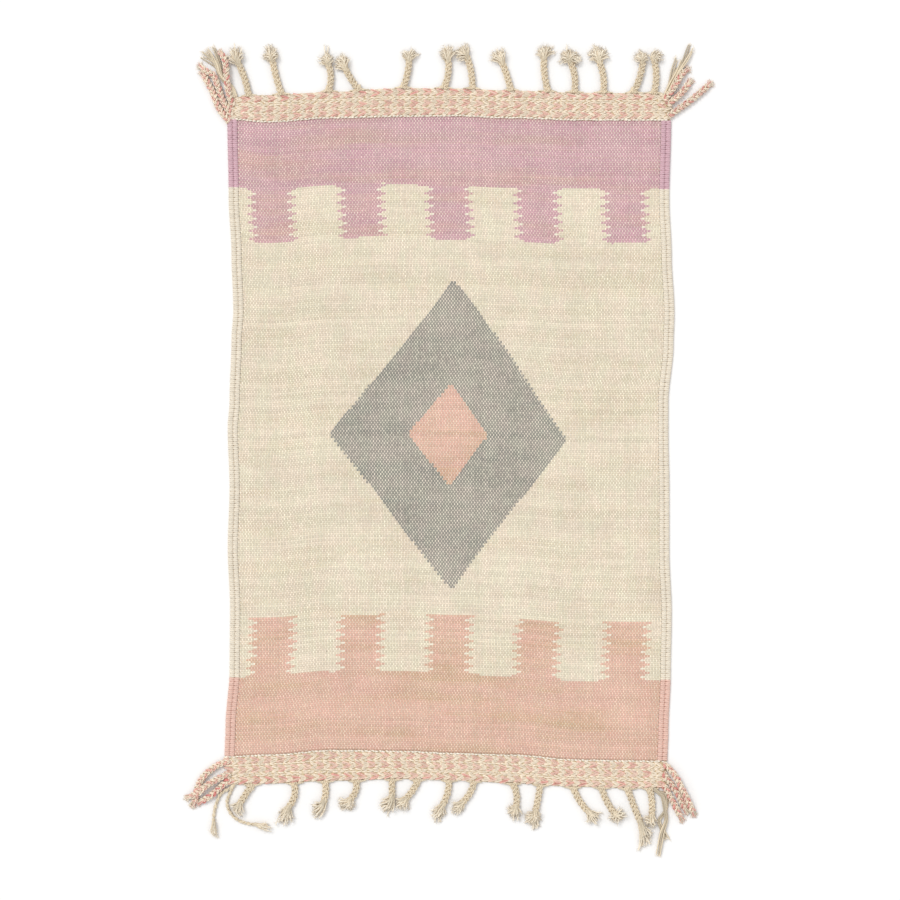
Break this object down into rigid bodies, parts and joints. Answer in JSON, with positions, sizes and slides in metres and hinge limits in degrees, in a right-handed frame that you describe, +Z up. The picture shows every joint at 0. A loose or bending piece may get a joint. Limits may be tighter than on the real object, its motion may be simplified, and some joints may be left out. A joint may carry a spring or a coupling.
{
  "type": "berber kilim",
  "caption": "Flat-woven wool rug with wrapped selvedges, ribbed twined end bands, plaited warp tassels and braided corners.",
  "frame": {"origin": "middle of the cloth's underside, on the surface it lies on", "axes": "+Z up from the surface, +Y along the warps towards the top end, +X across along the wefts"},
  "size_m": [1.1419, 1.758, 0.0124],
  "materials": {
    "tapestry_wool": "matte weft-faced wool weave in cream, grey, lilac and blush",
    "twined_wool": "matte twined wool in cream and blush",
    "warp_yarn": "matte undyed plied yarn"
  },
  "bodies": {
    "root": {"woven_field": "tapestry_wool", "twined_end_top": "twined_wool", "twined_end_bottom": "twined_wool"}
  },
  "joints": []
}
